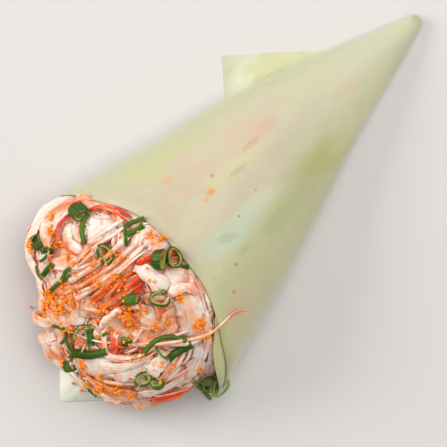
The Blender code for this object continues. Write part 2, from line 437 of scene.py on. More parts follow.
def stroke(right, up, length, width, angle, ragged=0.9):
    """A soft oblong stain on the upper side, in millimetres and degrees, as seen from above."""
    c, s = math.cos(math.radians(angle)), math.sin(math.radians(angle))
    over, aside = to_right - right, to_up - up
    a, b = (over * c + aside * s) * (2 / length), (aside * c - over * s) * (2 / width)
    return (a * a + b * b + (wisp - 0.5) * (2 * ragged)).step(1.3, 0.0) * upper


cream = sheet_finish.mix(from_tip.step(0.020, 0.075), tint(191, 190, 162), tint(191, 179, 153))
cream = sheet_finish.mix(from_tip.step(0.085, 0.112), cream, tint(184, 173, 143))
cream = sheet_finish.mix(cloud.step(0.42, 0.62) * 0.35, cream, tint(190, 186, 151))
green_side = (side + (cloud - 0.5) * 0.16 + (wisp - 0.5) * 0.06).step(-0.05, -0.17)
cream = sheet_finish.mix(green_side * from_tip.step(0.025, 0.075) * 0.85, cream, tint(185, 184, 139))
marble = sheet_finish.noise(place, 260, 4.0, stretch=(0.6, 1.3, 1.0), roughness=0.62)
cream = sheet_finish.mix(marble.step(0.52, 0.70) * 0.40, cream, tint(197, 191, 151))
cream = sheet_finish.mix(marble.step(0.46, 0.30) * 0.35, cream, tint(194, 182, 165))
green_left = (side + (cloud - 0.5) * 0.10).step(0.20, 0.31)
cream = sheet_finish.mix(green_left * 0.75, cream, tint(175, 178, 134))
pink = (streak + (cloud - 0.5) * 0.5).step(0.50, 0.72) * side.size().step(0.22, 0.08)
cream = sheet_finish.mix(pink * from_tip.step(0.03, 0.06) * 0.40, cream, tint(198, 164, 141))
for right, up, length, width, angle, colour, strength in (
    (62, 46.5, 26, 9, 40, tint(176, 178, 107), 0.72),
    (56, 38, 24, 7, 60, tint(172, 174, 121), 0.50),
    (47.5, 27.5, 17, 6, 40, tint(169, 174, 123), 0.55),
    (41, 31.5, 26, 5, 38, tint(193, 193, 167), 0.75),
    (34.5, 23, 24, 9, 36, tint(182, 190, 167), 0.80),
    (33, 22, 7, 3, 20, tint(153, 164, 124), 0.45),
    (38, 19, 6, 2.5, 50, tint(156, 165, 125), 0.40),
    (35, 42, 30, 6, 38, tint(194, 190, 143), 0.50),
    (9.8, 43, 24, 6, 33, tint(177, 184, 121), 0.45),
    (24, 50, 20, 5, 30, tint(182, 184, 136), 0.50),
    (30, 28, 14, 5, 20, tint(190, 182, 158), 0.50),
    (38, 52, 20, 11, 40, tint(201, 172, 150), 0.55),
    (39.5, 48.6, 8, 2.2, 44, tint(205, 140, 125), 0.50),
    (44, 54, 8, 4, 40, tint(203, 162, 141), 0.55),
    (36, 41, 8, 1.8, 40, tint(184, 136, 119), 0.45),
    (26, 41, 14, 6, 25, tint(198, 167, 145), 0.45),
    (16, 38, 4, 2.6, 20, tint(208, 162, 119), 0.60),
    (24, 35, 12, 4, 10, tint(198, 162, 141), 0.40),
    (68, 66, 14, 5, 38, tint(203, 177, 147), 0.60),
    (71, 61, 6, 4, 40, tint(182, 173, 119), 0.50),
    (54, 58, 14, 8, 40, tint(194, 182, 156), 0.60),
    (72, 60, 34, 10, 55, tint(205, 199, 157), 0.60),
    (36, 0, 28, 13, 68, tint(198, 179, 144), 0.60),
    (12, 41, 18, 7, 30, tint(188, 182, 132), 0.50),
    (30.5, -9, 20, 7, 82, tint(199, 193, 132), 0.70),
):
    cream = sheet_finish.mix(stroke(right, up, length, width, angle) * strength, cream, colour)
for right, up, size, colour, strength in (
    (28.5, 34.8, 3.0, tint(214, 141, 65), 0.85),
    (27.1, 32.5, 2.2, tint(212, 149, 84), 0.70),
    (24.2, 25.9, 2.4, tint(210, 158, 103), 0.50),
    (35.5, 14.5, 1.4, tint(208, 119, 36), 0.90),
    (34.9, 6.9, 1.6, tint(208, 124, 43), 0.85),
    (29.5, 10.8, 1.2, tint(208, 145, 78), 0.60),
    (28.7, 39.4, 1.5, tint(143, 141, 88), 0.70),
    (36.3, 28.0, 1.1, tint(127, 147, 81), 0.80),
    (41, 35.6, 0.9, tint(143, 151, 95), 0.70),
):
    cream = sheet_finish.mix(stroke(right, up, size, 0.8 * size, 30, 0.9) * strength, cream, colour)
flat = z.step(0.0030, 0.0012)
on_table = sheet_finish.mix(wisp.step(0.4, 0.6), tint(196, 194, 153), tint(205, 202, 177))
cream = sheet_finish.mix(flat * 0.9, cream, on_table)
# Painted light: the flat corner at the far left is painted near white over the heap's shadow.
cream = sheet_finish.mix(flat * x.step(-0.056, -0.062), cream, tint(240, 238, 215))
cream = sheet_finish.mix((grain - 0.5).size().step(0.10, 0.30) * 0.30, cream, tint(172, 165, 124))
relief = grain * 0.4 + sheet_finish.noise(place, 2600, 2.0) * 0.25 + cloud * 0.8
sheet_finish.set(sheet_finish.shader, {"Base Color": cream, "Roughness": 0.34 + grain * 0.22,
                                       "Normal": sheet_finish.bump(relief, 0.35, 0.0004)})
soy_sheet.data.materials.append(sheet_finish.material)
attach(soy_sheet, "root")
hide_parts("wrapper")

# %% [markdown]
# ## The core of the salad
#
# Inside the heap the shreds are too deep to see one by one. The solid model's filling is copied and drawn
# in by some millimetres in front of the mouth, and its skin is made lumpy. It keeps a moist pink with a few
# dark hollows that show between the shreds.

# %% Shape the core
UNDER_SHEET = -0.022  # the heap is drawn in only in front of this
CORE_DEPTH, CORE_LUMPS, CORE_FLOOR = 1.2, 0.7, 1.2 * MM


def tree_of(piece):
    """A piece's surface, for finding places on it."""
    return BVHTree.FromPolygons([corner.co.copy() for corner in piece.data.vertices],
                                [tuple(face.vertices) for face in piece.data.polygons])


core = merged_copy("filling", "salad_core")
draw_in_left(core)
heap_tree, sheet_tree = tree_of(core), tree_of(soy_sheet)
use_modifier(core, "SUBSURF", levels=1, render_levels=1)
normals = [corner.normal.copy() for corner in core.data.vertices]
for corner, normal in zip(core.data.vertices, normals):
    in_front = float(smooth_step(UNDER_SHEET - corner.co.x, 0.0, 0.014))
    lump = noise.noise(corner.co * 230) + 0.6 * noise.noise(corner.co * 520)
    corner.co -= normal * MM * (0.3 + in_front * (CORE_DEPTH + CORE_LUMPS * lump))
    low = in_front * (1 - float(smooth_step(corner.co.z, 0.002, 0.010)))
    corner.co.x += 3.5 * MM * low * (1 if corner.co.x < -0.05 else 0)
    corner.co.y *= 1 - 0.09 * low
    corner.co.z = max(corner.co.z, CORE_FLOOR)
core.data.shade_smooth()
print("core", len(core.data.polygons), "faces")

core_finish = Finish("salad in shadow", Roughness=0.38, Subsurface_Weight=0.2,
                     Subsurface_Radius=(0.003, 0.0012, 0.0008), Subsurface_Scale=1.0)
place, x, y, z = core_finish.place()
fibres = core_finish.noise(place, 420, 4.0, stretch=(0.4, 1.5, 1.5))
patches = core_finish.noise(place, 150, 3.0)
colour = core_finish.mix(patches.step(0.30, 0.46), tint(238, 150, 96), tint(248, 196, 160))
colour = core_finish.mix(fibres.step(0.48, 0.64) * 0.8, colour, tint(252, 224, 204))
core_finish.set(core_finish.shader, {"Base Color": colour, "Normal": core_finish.bump(fibres, 0.7, 0.0012)})
core.data.materials.append(core_finish.material)
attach(core, "root")
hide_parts("filling")

# %% [markdown]
# ## Crab-stick shreds
#
# Crab stick is pressed fish in thin layers with a red skin on one side. Pulled apart it gives soft shreds,
# from threads of half a millimetre to bands of four, white inside and pink to red along the edge that had
# the skin. Straight moulds are modelled first: a thin bar, a band with grooves where its fibres part, and a
# thin flake. Copies are then laid over the heap: each creeps over its surface along the salad's grain, and
# both ends dive into the heap.

# %% Model the straight moulds


def straight_bar(sides, cuts, grooves=0.0):
    """A bar one unit long and two wide along Z, cut across and tapered at both ends."""
    bpy.ops.mesh.primitive_cylinder_add(vertices=sides, radius=1.0, depth=1.0, location=(0, 0, 0.5))
    bar = bpy.context.active_object
    bpy.ops.object.transform_apply(location=True, rotation=False, scale=False)
    edit(bar)
    work = bmesh.from_edit_mesh(bar.data)
    for edge in work.edges:
        edge.select_set(abs(edge.verts[0].co.z - edge.verts[1].co.z) > 0.5)
    bmesh.update_edit_mesh(bar.data)
    bpy.ops.mesh.subdivide(number_cuts=cuts)
    done()
    for corner in bar.data.vertices:
        around = math.atan2(corner.co.y, corner.co.x)
        groove = 1 - grooves * (0.5 + 0.5 * math.cos(around * 6 + 0.6 * corner.co.z)) * abs(math.sin(around))
        end = min(corner.co.z, 1 - corner.co.z)
        drawn_in = 0.25 + 0.75 * min(1.0, end * (cuts + 1) / 2) ** 0.6
        corner.co.x *= drawn_in
        corner.co.y *= drawn_in * groove
    return take_mould(bar)


def straight_flake():
    """A thin sheet of pressed fish one unit long and two wide, with ragged ends."""
    bpy.ops.mesh.primitive_grid_add(x_subdivisions=9, y_subdivisions=16, size=2.0)
    flake = bpy.context.active_object
    for corner in flake.data.vertices:
        across, along = corner.co.x, corner.co.y
        ragged = 0.10 * noise.noise(Vector((across * 2.3, along * 0.3, 5)))
        corner.co = Vector((across * (1 - 0.14 * along**4), 0, 0.5 + along * (0.5 + ragged)))
    use_modifier(flake, "SOLIDIFY", thickness=1.0, offset=0.0, use_rim=True)
    edit(flake)
    bpy.ops.mesh.select_all(action="SELECT")
    bpy.ops.mesh.normals_make_consistent(inside=False)
    done()
    return take_mould(flake)


long_bar, short_bar, crumb = straight_bar(6, 19), straight_bar(6, 8), straight_bar(5, 4)
band_mould, plain_band, flake_mould = straight_bar(14, 13, 0.45), straight_bar(10, 7, 0.35), straight_flake()
for name, mould in (("long bar", long_bar), ("short bar", short_bar), ("crumb", crumb), ("band", band_mould),
                    ("plain band", plain_band), ("flake", flake_mould)):
    print(name, len(mould.faces), "faces")

# %% [markdown]
# ### Ways over the heap
#
# The salad was pushed into the roll, so its shreds don't lie at random: over the top they lean one way, and
# at the foot they swing round the heap as noodles do in a bowl. That grain is given by its direction at
# some places, as seen from above, and it is mixed in between.

# %% Ways over the heap
REACH = -0.014  # no shred creeps further under the sheet than this
GRAIN = (
    (-22, 24, 70), (-17, 32, 25), (-6, 35, 0), (2, 32, -28), (10, 27, -35), (-21, 14, -63), (-19, 4, -50),
    (-12, 14, 25), (-5, 13, 34), (3, 16, 45), (8, 21, 55), (5, 8, 40), (-8, 5, 20), (-14, 1, -5),
    (14, 20, 0), (14, 11, -40), (21, 11, -60), (23, 2, -80), (27, -3, -80), (25, -9, 65), (19, -15, 50),
    (10, -20, 12), (0, -21, -10), (-8, -16, -40), (-13, -8, -65), (-8, -9, 0), (0, -12, 10), (8, -13, 28),
    (16, -12, 55), (14, -7, 5), (7, -3, -10),
)

HOLLOWS = (  # right, up, size
    (17.9, -0.6, 1.5), (3.2, -3.0, 2.2), (2.8, -7.0, 1.6), (25.8, 5.5, 1.2), (16.5, -7.2, 1.0),
    (9.0, 13.8, 0.8),
)
CALM = (  # right, up, size of the places where broad pieces lie bare
    (-17, 28, 7), (-6.5, 24, 5), (12.5, 20.5, 5), (12.5, 11, 4.5), (23, 0, 4.5), (-5, -15.5, 5),
    (10.5, -1, 4.5), (5, 8, 5.5), (20, 9, 4), (16, -20, 4),
)
ROE = (  # clusters of eggs: right, up, half width, half height, how many
    (-17.3, 4.6, 1.7, 1.9, 60),
    (-14.5, 2.0, 1.6, 1.8, 34),
    (-12.0, 4.5, 2.0, 2.0, 22),
    (-22.9, 20.3, 0.8, 1.5, 20),
    (-16.9, 28.2, 0.7, 0.7, 14),
    (-16.6, 23.6, 0.8, 1.3, 14),
    (-14.5, 20.0, 1.5, 1.5, 10),
    (-11.8, 8.0, 2.0, 2.0, 12),
    (-1.5, 1.4, 1.4, 0.8, 14),
    (5.0, -0.8, 1.8, 2.0, 42),
    (9.2, 1.6, 1.6, 1.2, 14),
    (13.0, -2.6, 1.0, 1.4, 10),
    (16.6, -1.0, 0.5, 1.2, 10),
    (20.0, 5.5, 1.0, 1.6, 16),
    (25.5, -2.0, 1.8, 1.8, 24),
    (27.5, -6.0, 0.9, 1.0, 8),
    (25.5, -15.6, 0.6, 1.4, 7),
    (-2.8, -17.0, 0.6, 0.7, 14),
    (-8.2, -15.6, 0.8, 2.2, 22),
    (-7.4, -20.2, 1.1, 1.0, 22),
    (-3.6, -20.8, 1.6, 0.8, 30),
    (1.5, -21.2, 2.0, 0.8, 34),
    (5.5, -22.4, 1.0, 0.8, 16),
    (-14.3, -13.2, 0.4, 1.6, 9),
    (-12.5, -3.4, 1.6, 1.0, 12),
    (12.4, 22.4, 1.4, 1.2, 12),
    (15.4, 21.6, 0.9, 0.5, 8),
    (3.4, 17.0, 1.4, 1.6, 8),
    (-11.0, 15.5, 1.4, 1.4, 8),
    (2.5, 10.5, 2.2, 1.6, 10),
    (-3.0, 8.0, 2.0, 2.0, 12),
    (-4.0, 14.0, 2.6, 2.2, 10),
    (8.0, -12.0, 3.0, 2.4, 8),
    (16.0, -15.0, 3.0, 2.4, 8),
    (-19.5, 1.0, 1.0, 1.6, 10),
    (2.0, 4.0, 12.0, 13.0, 95),
)


def seen(right, up):
    """A place given in millimetres to the right of the heap's middle and up from it, as seen from above."""
    return MIDDLE + (RIGHT * right + UP * up) * MM


def grain(place):
    """The salad's direction at a place."""
    offset = Vector((place[0], place[1], 0)) - MIDDLE
    right, up = offset.dot(RIGHT) / MM, offset.dot(UP) / MM
    c = s = 0.0
    for at_right, at_up, angle in GRAIN:
        weight = ((right - at_right) ** 2 + (up - at_up) ** 2 + 3) ** -1.5
        c += weight * math.cos(2 * math.radians(angle))
        s += weight * math.sin(2 * math.radians(angle))
    angle = math.atan2(s, c) / 2
    return np.array(RIGHT * math.cos(angle) + UP * math.sin(angle))


def as_seen(places):
    """How far right and up places are, in millimetres."""
    offsets = np.asarray(places)[:, :2] - np.array(MIDDLE)[:2]
    return offsets @ np.array(RIGHT)[:2] / MM, offsets @ np.array(UP)[:2] / MM


def hollow(places):
    """How much places sink into the hollows between the pieces, from 0 to 1."""
    right, up = as_seen(places)
    return np.max([np.exp(-(((right - x) ** 2 + (up - y) ** 2) / size**2) / 2)
                   for x, y, size in HOLLOWS], axis=0)


def sauce(places):
    """How orange the roe colours places, from 0 to 1."""
    right, up = as_seen(places)
    near = [min(1.0, count / 24)
            * np.exp(-((right - x) / (1.7 * wide + 1)) ** 2 - ((up - y) / (1.7 * high + 1)) ** 2)
            for x, y, wide, high, count in ROE if wide < 6]
    return np.clip(np.sum(near, axis=0), 0, 1)


def on_heap(place):
    """The nearest place on the heap and the way out of it."""
    spot, normal, _, _ = heap_tree.find_nearest(Vector(place))
    return np.array(spot), np.array(normal)


def drop_on_heap(place):
    """The heap's surface straight under a place, or beside it where the heap ends."""
    spot, normal, _, _ = heap_tree.ray_cast(Vector((place[0], place[1], 0.08)), Vector((0, 0, -1)))
    if spot is None or spot.z < 0.0015:
        return on_heap((place[0], place[1], 0.003))
    return np.array(spot), np.array(normal)


def headroom(spot, normal):
    """How far a place on the heap is from the sheet over it."""
    spot = Vector(spot)
    hits = [sheet_tree.ray_cast(spot, way, 0.012)[3] for way in (Vector((0, 0, 1)), Vector(normal))]
    return min([far for far in hits if far is not None], default=9.0)


def read_off(rows, shares):
    """What a row of points says at shares of its way, from 0 to 1."""
    rows = np.asarray(rows, float)
    walk = np.linspace(0, 1, len(rows))
    return np.stack([np.interp(shares, walk, column) for column in rows.T], axis=1)


def soften(rows, passes):
    """Takes the kinks out of a path."""
    for _ in range(passes):
        inner = (rows[:-2] + 2 * rows[1:-1] + rows[2:]) / 4
        rows = np.concatenate([rows[:1], inner, rows[-1:]])
    return rows


def creep(start, length, steps, astray=0.3, follow=0.12, wander=0.06):
    """A path over the heap through start, which follows the grain but sets off astray from it."""
    halves = []
    steep = on_heap(start)[1][2] < 0.4
    if steep:  # on the steep sides pieces are short and lie any way
        length, astray = length * 0.5, 1.2
    turned = rng.normal(0, astray)
    for sign in (1, -1):
        spot, normal = on_heap(start)
        heading = grain(spot) * sign
        heading = heading * math.cos(turned) + np.cross([0, 0, 1], heading) * math.sin(turned)
        trail = []
        for _ in range(steps // 2):
            heading = unit(heading + np.cross(normal, heading) * rng.normal(0, wander))
            along = grain(spot)
            heading = heading * (1 - follow) + along * (follow * np.sign(along.dot(heading)))
            heading = unit(heading - normal * heading.dot(normal))
            ahead = spot + heading * length / (steps - 1)
            if ahead[0] > REACH and heading[0] > 0:
                break
            spot, normal = on_heap(ahead)
            if normal[2] < 0.2 and not steep:
                break
            trail.append(spot)
        halves.append(trail)
    line = halves[1][::-1] + [on_heap(start)[0]] + halves[0]
    if len(line) < 4:
        return None
    return settle_path(np.array(line), steps)


def settle_path(line, steps):
    """Evens out a path's steps, takes its kinks out and lays it back on the heap."""
    walk = np.concatenate([[0], np.cumsum(np.linalg.norm(np.diff(line, axis=0), axis=1))])
    fine = np.linspace(0, walk[-1], steps)
    line = soften(np.stack([np.interp(fine, walk, line[:, k]) for k in range(3)], axis=1), 3)
    landed = [on_heap(spot) for spot in line]
    return np.array([spot for spot, _ in landed]), np.array([normal for _, normal in landed])


def guide(*places):
    """A smooth path over the heap through places given as seen from above."""
    line = soften(read_off(places, np.linspace(0, 1, 40)), 20 if len(places) > 2 else 1)
    return settle_path(np.array([drop_on_heap(seen(*place))[0] for place in line]), 26)


def bend_along(mould, spots, normals, width, thickness, twist=0.0, turn=0.0, curl=0.0, sizes=(1, 1, 1)):
    """Copies a straight mould on to a path. Curl is the angle that its width is rolled up by."""
    share = np.clip(mould.corners[:, 2], 0, 1)
    ahead = unit(read_off(unit(np.gradient(spots, axis=0)), share))
    up = read_off(normals, share)
    up = unit(up - ahead * (up * ahead).sum(1)[:, None])
    sideways = np.cross(up, ahead)
    angle = turn + twist * share
    c, s = np.cos(angle)[:, None], np.sin(angle)[:, None]
    wide, high = sideways * c + up * s, up * c - sideways * s
    size = np.interp(share, np.linspace(0, 1, len(sizes)), sizes)
    across, lift = mould.corners[:, 0] * width / 2, mould.corners[:, 1] * thickness / 2
    if curl:
        roll, thick = mould.corners[:, 0] * curl / 2, lift
        across, lift = width / curl * np.sin(roll), width / curl * (1 - np.cos(roll))
        across, lift = across - np.sin(roll) * thick, lift + np.cos(roll) * thick
    middle = read_off(spots, share)
    return middle + wide * (across * size)[:, None] + high * (lift * size)[:, None], share


# %% Lay one piece of fish
shreds, bands, flakes = Joined(), Joined(), Joined()
RIM_FRONT = -0.066  # the foremost place of the sheet's rim
DIVE = 1.6 * MM  # how deep a piece's ends go
SHALLOW = 0.6  # the share of that for broad pieces and for what lies on top
HOLLOW_DEPTH = 3.0 * MM
left_out = []


def outside_sheet(spots):
    """Whether a path has come through the sheet: the sheet is close under it, and the heap under that."""
    for spot in spots[::2]:
        hit = sheet_tree.ray_cast(Vector(spot), Vector((0, 0, -1)), 0.006)[0]
        if hit is not None and heap_tree.ray_cast(hit - Vector((0, 0, 0.0002)), Vector((0, 0, -1)), 0.012)[0]:
            return True
    return False


def tuck(corners):
    """Keeps the corners of a piece that lie under the sheet from coming through it."""
    for number in np.nonzero(corners[:, 0] > RIM_FRONT)[0]:
        spot, normal = on_heap(corners[number])
        room = headroom(spot, normal) - 0.2 * MM
        if room < 4 * MM and (corners[number] - spot).dot(normal) > room:
            corners[number] = spot + normal * room
    return corners


def lay(pile, mould, path, width, thickness, depth, skin, dive, twist=0.0, turn=0.0, curl=0.0,
        red_side=None, flush=0.0, sinks=1.0):
    """One piece on a path, in millimetres. Depth is its middle's height over the heap, skin how red its edge
    is and flush how red it is all over. Sinks is 0 for a piece that bridges the hollows."""
    if path is None:
        return
    spots, normals = path
    walk = np.linspace(-1, 1, len(spots))
    length = np.linalg.norm(np.diff(spots, axis=0), axis=1).sum()
    weave = 0.3 * MM * np.sin(walk * length / 0.011 + rng.uniform(0, 6)) * rng.uniform(0.2, 1.0)
    ends = np.clip((np.abs(walk) - 1 + 0.006 / max(length, 0.006)) * max(length, 0.006) / 0.006, 0, 1) ** 1.5
    heights = depth * MM + weave - dive * DIVE * ends
    heights -= sinks * HOLLOW_DEPTH * hollow(spots)
    limits = np.array([headroom(spot, normal) for spot, normal in zip(spots, normals)])
    limits -= (0.3 + thickness / 2) * MM
    for _ in range(2):
        limits = np.minimum(limits, np.minimum(np.roll(limits, 1), np.roll(limits, -1)))
    normals = unit(soften(normals, 4))
    spots = soften(spots + normals * soften(np.minimum(heights, limits)[:, None], 2), 2)
    if outside_sheet(spots):
        left_out.append(path)
        return
    corners, share = bend_along(mould, spots, normals, width * MM, thickness * MM, twist, turn, curl,
                                rng.uniform(0.7, 1.2, 9))
    corners = tuck(corners)
    corners[:, 2] = np.maximum(corners[:, 2], 0.0005)
    red_side = rng.choice([-1.0, 1.0]) if red_side is None else red_side
    edge = np.clip(0.5 - 0.8 * red_side * mould.corners[:, 0], 0, 1) * skin
    uneven = 0.75 + 0.25 * np.sin(share * 7 + rng.uniform(0, 6))
    above = read_off(heights[:, None], share)[:, 0] / MM + mould.corners[:, 1] * thickness / 2
    # The deeper below the heap's top a corner lies, the more painted shade its finish gives it in the gaps.
    pile.put(corners, mould.faces, skin=np.clip(edge * uneven + flush, 0, 1), shade=rng.uniform(0, 1),
             across=mould.corners[:, 0] * width, along=share * length / 0.01, sauce=sauce(corners),
             deep=np.clip((0.5 - above) / 1.8, 0, 1))


def side_by_side(path, count, spread):
    """The paths of shreds that lie loosely side by side, about spread millimetres apart."""
    spots, normals = path
    sideways = unit(np.cross(normals, np.gradient(spots, axis=0)))
    cut = 9 if count > 2 else 3
    for number in range(count):
        shift = (number - (count - 1) / 2) * spread + rng.normal(0, 0.30 * spread)
        swing = shift + rng.normal(0, 0.9 if count > 2 else 0.3) * np.linspace(-1, 1, len(spots))
        moved = spots + sideways * (swing * MM)[:, None]
        yield settle_path(moved[rng.integers(0, cut):len(moved) - rng.integers(0, cut)], len(spots))


def lay_bundle(path, count, spread, depth, skin, width, flush):
    """Long shreds side by side. One or two lie straight, and three or more lie loosely."""
    loose = 1.0 if count > 2 else 0.4
    for one in side_by_side(path, count, spread):
        wide = width * (1 + loose * rng.uniform(-0.4, 0.6))
        lay(shreds, long_bar, one, wide, wide * rng.uniform(0.45, 0.75), depth + loose * rng.normal(0, 0.35),
            float(np.clip(skin + rng.normal(0, 0.15), 0, 1)), SHALLOW, rng.normal(0, 0.8), rng.normal(0, 0.4),
            flush=flush * rng.uniform(0.6, 1.3), sinks=0.0)


# %% Lay the shreds that make up the heap


def heap_start(calm=False):
    """A random place on the heap's skin, and outside the broad smooth pieces if it is to be calm there."""
    while True:
        guess = rng.uniform((heap_low.x, heap_low.y, 0.0), (REACH - 0.004, heap_high.y, heap_high.z * 1.2))
        spot, _ = on_heap(guess)
        right, up = as_seen(spot[None])
        smooth = calm and any(math.hypot(right[0] - x, up[0] - y) < size for x, y, size in CALM)
        if spot[0] < REACH - 0.002 and spot[2] > 0.0015 and not (smooth and rng.uniform() < 0.85):
            return spot


def redness():
    """Most shreds are white, some pink, a few red."""
    pick = rng.uniform()
    if pick < 0.66:
        return rng.uniform(0.0, 0.2)
    return rng.uniform(0.2, 0.5) if pick < 0.92 else rng.uniform(0.5, 0.9)


# bands deep down, in two layers
for count, depth, widest in ((75, -1.3, 6.0), (70, -0.7, 5.5)):
    for _ in range(count):
        width = rng.uniform(2.5, widest)
        lay(bands, plain_band, creep(heap_start(), rng.uniform(8, 16) * MM, 16, 0.7), width,
            rng.uniform(1.1, 1.9), depth + rng.normal(0, 0.25), redness(), SHALLOW,
            rng.normal(0, 0.4), rng.normal(0, 0.25))
# broad flakes
for _ in range(30):
    lay(flakes, flake_mould, creep(heap_start(), rng.uniform(7, 14) * MM, 16, 0.6), rng.uniform(4, 8), 0.7,
        rng.uniform(-0.7, 0.0), redness(), SHALLOW,
        rng.normal(0, 0.4), rng.normal(0, 0.2), rng.uniform(0.3, 1.2))
# short shreds, in two layers
for count, depth in ((90, -1.0), (90, -0.5)):
    for _ in range(count):
        lay(shreds, short_bar, creep(heap_start(True), rng.uniform(6, 13) * MM, 12, 0.9),
            rng.uniform(0.8, 1.9), rng.uniform(0.6, 1.0), depth + rng.normal(0, 0.25), redness(), 0.8,
            rng.normal(0, 0.8), rng.normal(0, 0.4))
# threads
for _ in range(90):
    lay(shreds, short_bar, creep(heap_start(True), rng.uniform(4, 11) * MM, 10, 1.0, 0.1, 0.14),
        rng.uniform(0.35, 0.7), rng.uniform(0.3, 0.5), rng.uniform(-0.3, 0.4), redness(), 0.5,
        rng.normal(0, 0.8), rng.normal(0, 0.4))
# wide chips
for _ in range(190):
    lay(shreds, crumb, creep(heap_start(True), rng.uniform(4, 9) * MM, 8, 0.9, 0.1, 0.1),
        rng.uniform(1.5, 3.6), rng.uniform(0.5, 0.9), rng.uniform(-0.9, -0.1), redness(), 0.5,
        rng.normal(0, 0.5), rng.normal(0, 0.4))
# crumbs, some of them red all over
for _ in range(130):
    lay(shreds, crumb, creep(heap_start(True), rng.uniform(2, 6) * MM, 8, 1.2, 0.0, 0.1),
        rng.uniform(0.5, 1.1), rng.uniform(0.4, 0.7), rng.uniform(-0.4, 0.3), redness(), 0.2,
        rng.normal(0, 0.8), rng.normal(0, 0.6), flush=rng.choice([0.0, 0.15, 0.4], p=[0.65, 0.25, 0.10]))
# long shreds on top
for _ in range(14):
    lay(shreds, long_bar, creep(heap_start(True), rng.uniform(22, 38) * MM, 24, 0.35, 0.2),
        rng.uniform(0.8, 1.4), rng.uniform(0.6, 0.8), rng.uniform(0.2, 0.7), redness(), 0.7,
        rng.normal(0, 0.8), rng.normal(0, 0.4))
print(len(left_out), "pieces left out, because they would come through the sheet")

# %% [markdown]
# ## The pieces that catch the eye
#
# Some pieces are large enough to be seen one by one: slices that were rolled up and stand on end as scrolls
# with a red rim, a red stringy lump in the middle, long shreds that lie across it, and noodles that sag
# round the foot of the heap. Their places are listed in millimetres from the heap's middle as seen from
# above.

# %% Place the scrolls


SCROLL_LEAN, SCROLL_THICKNESS = 0.3, 0.7
SCROLL_FOOT = -3.0  # how deep its foot stands, in millimetres


def stand_scroll(right, up, height, width, curl, facing, skin):
    """A slice rolled to a C that stands on end on the heap and opens towards facing, in degrees."""
    spot, normal = drop_on_heap(seen(right, up))
    turn = math.radians(facing)
    open_way = np.array(RIGHT * math.cos(turn) + UP * math.sin(turn))
    way = unit(normal + np.array([0, 0, 0.6]) + open_way * SCROLL_LEAN)
    open_way = unit(open_way - way * open_way.dot(way))
    rise = np.linspace(SCROLL_FOOT, height, 24)[:, None] * MM
    corners, share = bend_along(flake_mould, spot + way * rise, np.tile(open_way, (24, 1)), width * MM,
                                SCROLL_THICKNESS * MM, 0.0, 0.0, curl, rng.uniform(0.9, 1.1, 3))
    rim = np.clip((share - 0.5) / 0.4, 0, 1)
    outer = np.clip(0.5 - 0.5 * flake_mould.corners[:, 1], 0, 1)
    corners[:, 2] = np.maximum(corners[:, 2], 0.0005)
    # The scroll's foot gets painted shade: the lower a corner, the warmer and darker its finish.
    flakes.put(corners, flake_mould.faces, skin=np.clip(skin * (0.5 * rim + 0.6 * outer), 0, 1),
               shade=rng.uniform(0, 1), across=flake_mould.corners[:, 0] * width, along=share,
               sauce=sauce(corners), deep=np.clip(0.9 - share, 0, 1))


for right, up, height, width, curl, facing, skin in (
    (-8.0, 22.4, 0.2, 11, 3.0, 50, 0.7),
    (-15.5, 24.5, 0.4, 8, 2.4, -10, 0.6),
    (12.2, 20.6, 0.3, 8, 3.0, -110, 0.2),
):
    stand_scroll(right, up, height, width, curl, facing, skin)

